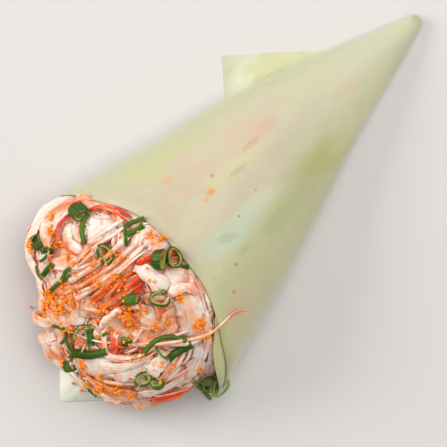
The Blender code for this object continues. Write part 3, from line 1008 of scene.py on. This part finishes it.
# %% Place the flakes and bands
for places, width, thickness, depth, skin, red_side in (
    # the lobes round the scrolls
    (((-23.5, 17), (-22.6, 22), (-20.5, 28), (-16, 32), (-9, 34.5)), 7.0, 2.2, 0.5, 0.16, 1),
    (((-18.8, 19), (-17.5, 25), (-13.5, 29), (-8, 31.2)), 5.5, 1.8, 0.7, 0.30, -1),
    (((-11, 26.4), (-11.6, 22.5), (-10.3, 19.5), (-7.3, 18.0)), 3.6, 1.6, 0.9, 0.30, 1),
    (((-5, 34), (1, 32.6), (8, 28.6), (11, 26.5)), 4.4, 1.6, 0.6, 0.20, 1),
    (((-5.2, 29.2), (-1.5, 30.6), (2.4, 28.8), (3.2, 24.5)), 1.8, 1.1, 1.2, 0.80, 1),
    (((-5.5, 19.5), (-3, 20.8), (0, 22.4)), 1.6, 0.9, 0.9, 0.75, 1),
    # the white pieces on the right
    (((7.4, 18.2), (7.8, 22.2), (11.5, 24.4), (15.5, 22.8), (17.4, 19.4)), 3.4, 2.0, 0.7, 0.05, 1),
    (((16.6, 5.8), (19.5, 8.2), (22.5, 8.3), (25.6, 5.6)), 3.0, 2.0, 1.0, 0.08, 1),
    (((26.4, 3), (27.3, -2), (26.5, -7)), 2.4, 1.2, 0.5, 0.30, 1),
    (((3.2, 0.8), (6, -1.2), (9, -2.6)), 3.6, 1.3, 0.7, 0.70, 1),
    # the red roll in its hollow
    (((1.5, -4.0), (1.7, -8), (1.0, -11.5)), 2.6, 1.7, 0.9, 1.00, 1),
    (((-1.2, -2.0), (-1.6, -7), (-1.0, -12)), 2.0, 1.5, 0.3, 0.55, 1),
    # the pink flakes on the left
    (((-18, -0.5), (-12.5, -1), (-7, 0)), 5.0, 1.5, 0.5, 0.16, -1),
    (((-22.8, 0.8), (-20.0, -1.4), (-16.5, -2.0)), 3.0, 0.9, 1.0, 0.25, -1),
    (((-18.5, 14), (-13, 15), (-8, 16)), 4.5, 1.4, 0.4, 0.15, 1),
    (((-20.5, 13), (-20.5, 8), (-18.5, 3)), 4.0, 1.4, 0.3, 0.30, 1),
    # the white pieces at the foot
    (((-13.5, -10), (-13, -5), (-15, -1)), 4.0, 1.4, 0.3, 0.20, 1),
    (((-4, -13.5), (2, -14.5), (8, -13), (12, -11)), 3.0, 1.4, 0.9, 0.08, 1),
    (((1, -18), (6, -15.5), (12, -12)), 3.6, 1.4, 0.8, 0.08, 1),
    (((11, -16.4), (13.6, -13.5), (16.4, -10.4)), 4.4, 1.6, 0.9, 0.06, 1),
    (((14, -18.5), (17, -14.5), (19, -10)), 2.6, 1.2, 0.6, 0.60, 1),
    (((26.2, -7.2), (24.6, -12), (21.6, -17.4)), 3.2, 1.5, 1.1, 0.10, 1),
    (((25.5, -9), (23, -14.5), (19.5, -18), (14, -21), (7, -22.3)), 3.4, 1.6, 0.6, 0.08, 1),
    (((28.2, -6), (28.3, -11), (26.4, -16)), 3.0, 1.4, 0.9, 0.10, 1),
    (((24.2, -12.0), (26.2, -15.0), (27.8, -18.4)), 4.6, 1.3, 0.8, 0.14, 1),
    (((27.6, -12.0), (27.4, -15.5), (25.8, -19.0)), 3.6, 1.3, 1.4, 0.30, 1),
    (((28.6, -12), (28.0, -16), (25.4, -19.6)), 2.4, 1.2, 2.0, 0.20, -1),
    (((8, -22.3), (2, -21.5), (-4, -19.5), (-9, -16)), 3.6, 1.5, 0.4, 0.14, 1),
):
    lay(bands, band_mould, guide(*places), width, 0.72 * thickness, depth, skin, SHALLOW,
        red_side=red_side, sinks=0.2)
print(bands.count, "bands")

# %% Place the broad flakes
for places, width, depth, skin, curl, red_side in (
    (((-11.5, 20), (-9.4, 22.4), (-7.6, 25.4)), 6.0, 0.3, 0.20, 0.6, 1),
    (((-6.8, 21.0), (-3, 24.2), (1.4, 27.2)), 8.6, 0.7, 0.14, -0.9, 1),
    (((8.4, 22.8), (12.4, 22.0), (17.0, 18.2)), 7.0, 0.9, 0.06, -1.2, 1),
    (((7.6, 14.6), (11.5, 11.8), (16.2, 7.0)), 4.8, 1.1, 0.04, -0.8, 1),
    (((15.4, 12.4), (18.6, 10.6), (22.2, 8.8)), 7.4, 0.5, 0.26, -0.8, -1),
    (((21.4, 6.2), (23.4, 1), (23.6, -6.0)), 8.6, 1.0, 0.08, -1.2, 1),
    (((7.0, 1.6), (11.5, -0.6), (16.2, -3.2)), 7.6, 0.9, 0.16, -1.1, 1),
    (((-18, 3.6), (-12, 3), (-5.6, 1.6)), 6.4, 0.5, 0.30, -0.9, 1),
    (((-11.5, -12.6), (-5, -14.8), (1.6, -14.6)), 7.4, 0.7, 0.08, -1.2, 1),
    (((-17.5, 8.5), (-13.5, 10.5), (-8.5, 13.5)), 5.0, 0.3, 0.20, -0.9, 1),
    (((0.5, 17.4), (4.5, 15.8), (8.5, 17.4)), 4.6, 0.1, 0.16, -0.9, 1),
):
    lay(flakes, flake_mould, guide(*places), width, 0.9, depth, skin, 0.8,
        curl=curl, red_side=red_side, sinks=0.2)
print(flakes.count, "flakes")

# %% Place the shreds
for places, count, spread, depth, skin, width, flush in (
    (((-9.5, 26.9), (-12.6, 26.2), (-13.7, 23.4), (-12.4, 19.9), (-9.8, 17.3), (-7.4, 16.6)),
     1, 1.0, 1.7, 0.3, 0.8, 0.95),
    (((-14.4, 27.6), (-11, 30.2), (-6.3, 32.9)), 1, 1.0, 1.3, 0.5, 1.1, 0.70),
    (((-16, 26), (-12.8, 28.6), (-9.5, 30.4)), 1, 1.0, 1.0, 0.5, 1.4, 0.40),
    (((-7, 31.6), (-5, 33.4), (-2.6, 34.6)), 1, 1.0, 1.2, 0.0, 1.8, 0.0),
    (((-5.8, 29.2), (-2, 30.1), (1.6, 29), (6.2, 26.6)), 2, 0.9, 1.2, 0.3, 1.2, 0.40),
    (((-13, 5.2), (-5, 9.8), (2, 15), (9.5, 23)), 4, 1.5, 0.9, 0.25, 1.4, 0.05),
    (((-6, 18.0), (0, 22), (6.5, 26.6)), 2, 1.5, 0.9, 0.20, 1.4, 0.0),
    (((-10, 12), (-4, 15.5), (2, 20)), 3, 1.4, 0.6, 0.20, 1.2, 0.05),
    (((1, 17), (3, 21), (4, 26)), 3, 1.3, 0.4, 0.30, 1.1, 0.15),
    (((-3.5, 2.2), (1.5, 6), (6, 10.5), (9, 12.6)), 6, 1.2, 0.8, 0.5, 1.5, 0.62),
    (((0.5, 2.6), (5.5, 5.2), (10.5, 8.6)), 4, 1.1, 0.9, 0.5, 1.3, 0.72),
    (((1, 5.5), (4.5, 8.5), (7.5, 11.5)), 3, 1.1, 1.3, 0.4, 0.9, 0.85),
    (((7.8, 14.6), (12.9, 16.2), (18, 17.2), (22, 17)), 1, 1.0, 1.2, 0.3, 1.9, 0.65),
    (((-2.8, -3.5), (-1.2, -0.5), (2.5, 2.2), (7, 3.6), (12.5, 2.4)), 1, 1.0, 1.2, 0.10, 2.0, 0.0),
    (((1.5, -0.5), (4, 1.2), (8, 1.0)), 3, 1.0, 0.9, 0.3, 1.2, 0.45),
    (((-11, 9), (-9, 4), (-9, 0)), 2, 1.4, 0.5, 0.30, 1.3, 0.0),
    (((-24.2, 20.4), (-21.8, 15), (-18.6, 9.8)), 2, 1.5, 1.0, 0.05, 1.5, 0.0),
    (((-22.5, 0.5), (-19, -1.8), (-14, -3)), 2, 1.3, 0.6, 0.35, 1.4, 0.1),
    (((23.8, -7.5), (22.6, -11), (20.5, -14.5)), 2, 1.2, 0.9, 0.35, 1.2, 0.0),
    (((23.6, -9), (23, -11), (22.2, -13)), 1, 1.0, 1.4, 0.2, 0.5, 0.60),
    (((27.8, -1), (27, -7), (24.5, -13)), 2, 1.3, 0.8, 0.15, 1.3, 0.0),
    (((21, -8.5), (18.5, -12), (16, -15.5)), 2, 1.3, 0.8, 0.25, 1.2, 0.05),
    (((18.6, -11.5), (17, -15), (15, -18.5)), 3, 1.1, 0.7, 0.3, 1.1, 0.25),
    (((-3, -10), (3, -12.5), (9, -12), (14, -9)), 2, 1.5, 0.6, 0.15, 1.4, 0.0),
    (((10.6, -23), (13.5, -23), (17.5, -21.8), (22, -20), (24, -17.5)), 2, 1.2, 0.9, 0.5, 1.7, 0.58),
    (((15.5, -23.9), (19, -23.6), (22.5, -22.6)), 1, 1.0, 0.8, 0.5, 1.3, 0.55),
    (((-4.5, -21.5), (2, -23.3), (9, -24), (16, -24.4)), 2, 1.1, 0.2, 0.10, 1.1, 0.0),
    (((-12, -12), (-10, -17), (-5, -20.5)), 2, 1.3, 0.4, 0.15, 1.3, 0.0),
    (((14, 24.5), (19, 20), (23, 15)), 2, 1.3, 0.2, 0.35, 1.2, 0.05),
    (((24, 12), (26.5, 6), (28, 0)), 2, 1.2, 0.3, 0.40, 1.2, 0.0),
    (((23.5, 8), (26, 4), (27.5, -2)), 1, 1.2, 0.7, 0.05, 1.0, 0.0),
    (((-20.5, 27), (-18.2, 22), (-17.8, 17)), 2, 1.5, 0.4, 0.50, 1.3, 0.2),
    (((2.2, -4.6), (2.0, -8), (1.2, -11)), 2, 1.0, 0.9, 0.5, 1.3, 0.60),
    (((13.8, -7.6), (18, -7.3), (22.5, -6.9), (27, -5.6)), 1, 1.0, 1.5, 0.15, 1.6, 0.08),
):
    lay_bundle(guide(*places), count, spread, depth, skin, width, flush)

# %% [markdown]
# ### The finish of the fish
#
# Pressed fish is milky, so light goes a few millimetres into it. Its colour runs along the fibres: nearly
# white, then pink, then red where the skin was, all uneven, with warm stains from the sauce and the roe.
# Pieces that lie deep in the heap are painted redder, more orange and darker, as painted shade in the gaps.

# %% Finish the fish


def fish_finish(name):
    finish = Finish(name, IOR=1.4, Specular_IOR_Level=0.4, Subsurface_Weight=0.5,
                    Subsurface_Radius=(0.0016, 0.0014, 0.0012), Subsurface_Scale=1.0)
    place, _, _, _ = finish.place()
    skin, shade, stained, deep, across, along = [
        finish.attribute(mark) for mark in ("skin", "shade", "sauce", "deep", "across", "along")]
    fibre_place = finish.add("ShaderNodeCombineXYZ", {}, across * 2.0 + shade * 40, along * 0.7, shade * 9)
    fibres = finish.add("ShaderNodeTexNoise", {}, Vector=fibre_place.value(), Scale=1.0, Detail=5.0,
                        Roughness=0.65).value(0)
    stain = finish.noise(place, 120, 3.0)
    mottle = finish.noise(place, 700, 3.0)
    # Here and below, corners deep in the heap are painted redder, more orange and darker: painted shade in
    # the gaps.
    red = (skin + (fibres - 0.5) * 1.15 + (mottle - 0.5) * 0.35 + stain.step(0.46, 0.68) * 0.28 + shade * 0.10
           + deep * 0.30)
    ramp = finish.add("ShaderNodeValToRGB", {"stops": (
        (0.0, tint(255, 238, 226)), (0.17, tint(254, 222, 206)), (0.36, tint(253, 184, 152)),
        (0.60, tint(248, 122, 76)), (0.92, tint(226, 54, 30)))}, red)
    colour = Value(finish, ramp.node.outputs["Color"])
    orange = (deep * 0.28 + stained * mottle.step(0.28, 0.60) * 0.78
              + stain.step(0.44, 0.30) * mottle.step(0.36, 0.62) * 0.50)
    colour = finish.mix(orange, colour, tint(255, 150, 66))
    colour = finish.mix(deep.step(0.60, 1.0) * 0.28, colour, tint(206, 112, 54))
    finish.set(finish.shader, {"Base Color": colour, "Roughness": 0.26 + mottle * 0.22,
                               "Normal": finish.bump(fibres + mottle * 0.3, 0.8, 0.0006)})
    return finish


shred_finish = fish_finish("crab shreds")
crab_shreds = shreds.piece("crab_shreds", shred_finish, "crab_salad")
crab_bands = bands.piece("crab_bands", fish_finish("crab bands"), "crab_salad")
crab_flakes = flakes.piece("crab_flakes", fish_finish("crab flakes"), "crab_salad")

# %% [markdown]
# ### One shred over the sheet
#
# One long thin shred hangs out of the mouth over the sheet's rim. It can't creep over the heap, so it is
# dropped from above on to whatever lies there.

# %% Drop a shred over the rim


skin_trees = [tree_of(piece) for piece in (core, crab_shreds, crab_bands, crab_flakes, soy_sheet)]


def top_of(place):
    """The highest surface of the whole roll straight under a place."""
    best, way = None, None
    for tree in skin_trees:
        hit, normal, _, _ = tree.ray_cast(Vector((place[0], place[1], 0.08)), Vector((0, 0, -1)))
        if hit is not None and (best is None or hit.z > best.z):
            best, way = hit, normal
    return best, way


stray = Joined()
places = ((9, -8.4), (18, -7.2), (26.7, -5.8), (29.5, -4.0), (32.4, -1.4), (34.2, 0.6), (36.2, 1.7),
          (39, 1.8))
line = soften(read_off(places, np.linspace(0, 1, 60)), 12)
spots = np.array([top_of(seen(*place))[0] for place in line])
spots[:, 2] = np.maximum.reduce([np.roll(spots[:, 2], k) for k in (-2, -1, 0, 1, 2)])
spots = soften(spots, 8) + np.array([0, 0, 0.45 * MM])
corners, share = bend_along(long_bar, spots, np.tile([0.0, 0.0, 1.0], (len(spots), 1)), 1.0 * MM, 0.7 * MM,
                            1.0, sizes=(1.1, 1.0, 0.8))
stray.put(corners, long_bar.faces, skin=0.30 - 0.2 * long_bar.corners[:, 0], shade=0.4,
          across=long_bar.corners[:, 0], along=share * 4, sauce=0.0, deep=0.0)
stray_shred = stray.piece("stray_shred", shred_finish, "crab_salad")

# %% [markdown]
# ## Scallion
#
# The scallion's green tube was cut across into thin rings. Some stayed whole, some sprang open to a C, and
# some were cut along as well and are short curved strips. One flat slab is modelled, and each copy is
# rolled to its own ring, squashed and tipped over, or laid along a path as a strip. The outside is dark
# green, the inside paler, and the cut edges are the palest. The pieces that lie in the sheet's shade at the
# lower right are painted a lighter green, as painted light.

# %% Model the slab of scallion
bpy.ops.mesh.primitive_grid_add(x_subdivisions=26, y_subdivisions=4, size=2.0)
slab = bpy.context.active_object
for corner in slab.data.vertices:
    corner.co = Vector((corner.co.x, 0, 0.5 + corner.co.y / 2))
use_modifier(slab, "SOLIDIFY", thickness=2.0, offset=0.0, use_rim=True)
edit(slab)
bpy.ops.mesh.select_all(action="SELECT")
bpy.ops.mesh.normals_make_consistent(inside=False)
done()
slab_mould = take_mould(slab)
strip_mould = Mould(np.stack([(slab_mould.corners[:, 2] - 0.5) * 2, -slab_mould.corners[:, 1],
                              (slab_mould.corners[:, 0] + 1) / 2], axis=1), slab_mould.faces)
print("slab", len(slab_mould.faces), "faces")
scallions = Joined()
skin_trees.append(tree_of(stray_shred))


def put_scallion(corners, mould, veins, pale):
    """Joins a copy, with marks for where it is inside the tube, how near a cut edge, along its veins, and how
    much lighter its green is painted, which on the pieces at the lower right is painted light.
    """
    corners[:, 2] = np.maximum(corners[:, 2], 0.0003)
    scallions.put(corners, mould.faces, inside=np.clip(0.5 - slab_mould.corners[:, 1] / 2, 0, 1),
                  cut=np.abs(2 * slab_mould.corners[:, 2] - 1) ** 6, shade=rng.uniform(0, 1), veins=veins,
                  pale=pale)


def ring(right, up, long, wide, angle, height, tip, leans, gap, opens, wall, pale=0.0, lift=0.0):
    """A ring of scallion, in millimetres and degrees. It is tipped over so that its axis leans towards leans,
    and its gap, in radians, opens towards opens."""
    under = [top_of(seen(right + 0.4 * long * x, up + 0.4 * wide * y))[0]
             for x, y in ((0, 0), (1, 0), (-1, 0), (0, 1), (0, -1))]
    under = sorted(spot.z if spot else 0.0 for spot in under)
    spot = (*seen(right, up)[:2], (under[2] + under[3]) / 2)
    around = slab_mould.corners[:, 0] * (math.pi - gap / 2) + math.pi + math.radians(opens)
    wobble = 1 + 0.08 * np.sin(2 * around + rng.uniform(0, 6)) + 0.07 * np.sin(3 * around + rng.uniform(0, 6))
    inwards = slab_mould.corners[:, 1] * wall / 2
    flare = 1 + rng.uniform(-0.12, 0.12) * (slab_mould.corners[:, 2] - 0.5)
    x = np.cos(around) * ((long - wall) / 2 * wobble * flare + inwards)
    y = np.sin(around) * ((wide - wall) / 2 * wobble * flare + inwards)
    z = (slab_mould.corners[:, 2] - 0.5) * height * (1 + 0.15 * np.sin(around + 1))
    way = math.radians(leans + 90)
    lean = Matrix.Rotation(math.radians(tip), 3, Vector((math.cos(way), math.sin(way), 0)))
    pose = Matrix.Rotation(math.radians(-45), 3, "Z") @ lean @ Matrix.Rotation(math.radians(angle), 3, "Z")
    corners = np.stack([x, y, z], axis=1) @ np.array(pose).T
    middle = np.array(spot) / MM + np.array([0, 0, lift - 0.6 * corners[:, 2].min()])
    put_scallion((corners + middle) * MM, slab_mould, around, pale)


STRIP_WALL, STRIP_LIFT = 0.4, 0.4


def strip(places, width, curl, turn, pale):
    """A strip of scallion along places on the heap. It is rolled up across its width, as its tube was."""
    line = soften(read_off(places, np.linspace(0, 1, 24)), 10)
    spots = [(seen(*place), top_of(seen(*place))[0]) for place in line]
    spots = np.array([(place.x, place.y, top.z if top else 0.0) for place, top in spots])
    spots[:, 2] = soften(np.maximum.reduce([np.roll(spots[:, 2], k) for k in (-1, 0, 1)])[:, None], 10)[:, 0]
    spots[:, 2] += (STRIP_LIFT + 0.12 * width) * MM
    corners, _ = bend_along(strip_mould, spots, np.tile([0.0, 0.0, 1.0], (len(spots), 1)), width * MM,
                            STRIP_WALL * MM, 0.0, math.radians(turn) + math.pi, curl,
                            rng.uniform(0.85, 1.1, 5))
    put_scallion(corners, strip_mould, strip_mould.corners[:, 0] * 0.4, pale)


# %% Scatter the rings
YOUNG_RING, YOUNG_STRIP = 0.85, 0.86  # how slim a young plant's walls and strips are
for right, up, long, wide, angle, height, tip, leans, gap, opens, wall in (
    (-8.6, 29.2, 5.0, 4.2, 30, 3.6, 48, -45, 0.5, -60, 0.8),
    (-0.8, 17.3, 6.6, 4.0, 112, 1.8, 12, 0, 0.3, 40, 1.2),
    (-20.6, 20.9, 4.4, 3.0, 100, 2.4, 60, 30, 0.8, 0, 0.8),
    (14.2, 15.7, 5.8, 4.2, 92, 2.4, 62, 0, 0.2, 0, 0.9),
    (18.3, 16.3, 6.2, 4.2, 96, 1.8, 20, -20, 0.2, 180, 0.9),
    (6.4, 4.7, 3.0, 2.9, 100, 3.8, 60, 12, 0.2, 0, 0.8),
    (14.5, 5.0, 5.6, 4.8, 10, 1.8, 15, 90, 1.1, 10, 0.9),
    (-6.5, -5.6, 8.0, 6.6, 0, 1.8, 18, 90, 2.2, -90, 0.9),
    (-12.3, -14.6, 3.4, 3.0, 20, 2.8, 55, 10, 0.2, 0, 0.9),
    (4.7, -7.1, 2.8, 2.0, 170, 2.0, 45, 90, 0.4, 0, 0.7),
    (9.3, -17.9, 4.8, 3.8, 40, 2.0, 25, 60, 0.3, 200, 1.1),
    (13.0, -18.5, 4.8, 3.8, 150, 2.0, 28, 120, 0.3, 20, 1.1),
):
    ring(right, up, long, wide, angle, height, tip, leans, gap, opens, YOUNG_RING * wall)
# These two rings lie in the shade of the sheet and heap, so their green is painted lighter: painted light.
for right, up, long, wide, angle, gap, opens, lift in (
    (31.1, -20.5, 6.0, 4.6, 55, 0.1, 0, 1.6),
    (28.2, -20.2, 5.4, 4.2, 25, 0.1, 0, 1.2),
):
    ring(right, up, long, wide, angle, 1.4, 14, 200, gap, opens, 0.75, 0.75, lift)

# %% Lay the strips
for places, width, curl, turn, pale in (
    (((-5.6, 28.9), (-7.1, 27), (-7.8, 24.2), (-6.8, 20.2)), 1.4, 1.6, 10, 0.1),
    (((-21.8, 22.0), (-19.8, 20.8), (-18.6, 17.8)), 2.1, 1.8, 0, 0.0),
    (((-18.8, 18.9), (-17.5, 18.8), (-16.0, 17.9)), 1.6, 1.5, 0, 0.0),
    (((-21.2, 14.2), (-21.0, 12.2), (-19.6, 10.4)), 0.7, 1.0, 0, 0.2),
    (((-19.0, 11.4), (-17.6, 13.4), (-15.8, 14.6)), 1.6, 1.6, 0, 0.0),
    (((-19.6, 15.4), (-17.6, 17.2)), 0.9, 1.0, 0, 0.2),
    (((-18.3, 6.1), (-14.6, 9.2), (-10.8, 11.4)), 1.3, 1.5, 0, 0.1),
    (((-13.2, 10.4), (-12.3, 12.6), (-10.8, 13.6)), 1.0, 1.2, 0, 0.1),
    (((4.4, 24.7), (7, 26.4), (9.9, 27.2)), 1.3, 1.4, 0, 0.0),
    (((5.4, 22.6), (7.6, 23.8), (9.7, 25.2)), 1.8, 1.8, 0, 0.0),
    (((4.6, 24.2), (4.9, 21.8), (5.2, 19.6)), 1.0, 1.2, 0, 0.0),
    (((-5.6, -3.6), (-5.4, -8.2)), 2.6, 1.6, 0, 0.0),
    (((-10.8, -10.4), (-6, -11.0), (-1.1, -9.8)), 3.5, 2.6, 0, 0.0),
    (((-16.6, -2.7), (-13.8, -3.3), (-12.4, -4.8), (-12.8, -6.6), (-14.4, -7.9)), 0.9, 1.2, 0, 0.1),
    (((-12.6, -6.8), (-11.6, -9.6), (-11.2, -12.8)), 1.1, 1.3, 0, 0.1),
    (((-2.0, -5.4), (-0.5, -4.5)), 0.9, 1.0, 0, 0.0),
    (((-9, -17.4), (-8.7, -19.6), (-8.0, -21.2), (-4.8, -23.2)), 0.9, 1.2, 0, 0.2),
    (((-7.4, -21.6), (-5, -23.6)), 1.5, 1.6, 0, 0.1),
    (((9.5, -10.6), (11.8, -7.6), (15, -5.5), (19, -5.7), (21.6, -6.8)), 1.6, 1.7, 0, 0.0),
    (((16.8, -11.8), (19, -9.9), (23, -7.8)), 2.6, 1.9, 0, 0.0),
    (((13.2, -8.6), (15.0, -11.4), (17.0, -11.9), (18.8, -9.8)), 0.7, 0.8, 0, 0.4),
    (((20.2, 14.0), (22.4, 13.6)), 1.1, 1.2, 0, 0.0),
    (((23.6, -19.0), (25.4, -21.4), (28.2, -21.4)), 1.8, 1.8, 0, 0.6),
    (((26.0, -22.2), (28.4, -24.6)), 1.0, 1.4, 0, 0.5),
):
    strip(places, YOUNG_STRIP * width, curl, turn, pale)

# %% Finish the scallion
green_finish = Finish("scallion", IOR=1.4, Specular_IOR_Level=0.25, Subsurface_Weight=0.06,
                      Subsurface_Radius=(0.0006, 0.0010, 0.0003), Subsurface_Scale=1.0)
place, _, _, _ = green_finish.place()
inside, cut = green_finish.attribute("inside"), green_finish.attribute("cut")
shade, around = green_finish.attribute("shade"), green_finish.attribute("veins")
veins_place = green_finish.add("ShaderNodeCombineXYZ", {}, around * 9, shade * 50, 0.0).value()
veins = green_finish.add("ShaderNodeTexNoise", {}, Vector=veins_place, Scale=1.0, Detail=2.0).value(0)
mottle = green_finish.noise(place, 500, 3.0)
green = green_finish.mix(shade, tint(34, 62, 10), tint(62, 92, 18))
green = green_finish.mix(veins.step(0.45, 0.62) * 0.55, green, tint(96, 124, 38))
green = green_finish.mix((inside * 0.85).step(0.25, 0.8) * 0.8, green, tint(142, 152, 62))
pale_cut = cut * mottle.step(0.35, 0.6) * inside.step(0.2, 0.7)
green = green_finish.mix(pale_cut * 0.6, green, tint(176, 184, 104))
# The pale mark paints a piece's green lighter; on the pieces at the lower right it is painted light over
# shade.
green = green_finish.mix(green_finish.attribute("pale") * 0.8, green, tint(136, 170, 66))
green_finish.set(green_finish.shader, {"Base Color": green, "Roughness": 0.38 + mottle * 0.25,
                                       "Normal": green_finish.bump(veins + mottle * 0.3, 0.4, 0.0003)})
scallion_rings = scallions.piece("scallion_rings", green_finish, "crab_salad")

# %% [markdown]
# ## Flying-fish roe
#
# Each egg is a bead of nine tenths of a millimetre, orange and shiny. They stick together in clusters, so
# cluster middles are listed and their beads fall round them on to whatever lies there.

# %% Model one egg and scatter the roe
bpy.ops.mesh.primitive_uv_sphere_add(segments=8, ring_count=6, radius=0.5)
egg_mould = take_mould(bpy.context.active_object)
roe = Joined()
skin_trees.append(tree_of(scallion_rings))
eggs_at = []


EGGS_APART = 0.8 * MM  # the middles of two eggs that touch
EGG_STACK = 1.1 * MM  # how high eggs lie on each other


def drop_egg(right, up, sunk=0.35):
    """One egg on the highest surface under a place. Eggs that would share a place lie on each other."""
    spot, _ = top_of(seen(right, up))
    size = rng.uniform(0.78, 1.02) * MM
    height = floor = (spot.z if spot else 0.0) + size * (0.5 - sunk)
    ground = seen(right, up)
    for other in eggs_at[-90:]:
        apart = math.hypot(other[0] - ground.x, other[1] - ground.y)
        if apart < EGGS_APART:
            height = max(height, other[2] + math.sqrt(EGGS_APART**2 - apart**2) * 0.8)
    middle = np.array([ground.x, ground.y, max(min(height, floor + EGG_STACK), 0.45 * MM)])
    eggs_at.append(middle)
    roe.put(egg_mould.corners * size + middle, egg_mould.faces, shade=rng.uniform(0, 1))


for right, up, spread_right, spread_up, count in ROE:
    for _ in range(count):
        drop_egg(right + rng.normal(0, spread_right * 0.62), up + rng.normal(0, spread_up * 0.62))
for right, up in ((-12.2, -19.9), (-9.7, -22.0), (7.3, -26.6), (8.4, -25.4), (11.8, -24.6), (18.5, -23.8),
                  (-24.6, 2.4), (-23.8, -0.6), (-21.0, -3.0)):
    drop_egg(right, up, 0.0)

# %% Finish the roe
roe_finish = Finish("flying-fish roe", IOR=1.38, Specular_IOR_Level=0.5, Subsurface_Weight=0.35,
                    Subsurface_Radius=(0.0012, 0.0005, 0.0001), Subsurface_Scale=1.0)
place, _, _, _ = roe_finish.place()
egg = roe_finish.attribute("shade")
mottle = roe_finish.noise(place, 1400, 2.0)
orange = roe_finish.mix(egg, tint(255, 112, 6), tint(255, 150, 34))
orange = roe_finish.mix(mottle.step(0.4, 0.7) * 0.4, orange, tint(255, 168, 70))
roe_finish.set(roe_finish.shader, {"Base Color": orange, "Roughness": 0.12 + mottle * 0.12})
roe.piece("fish_roe", roe_finish, "crab_salad")
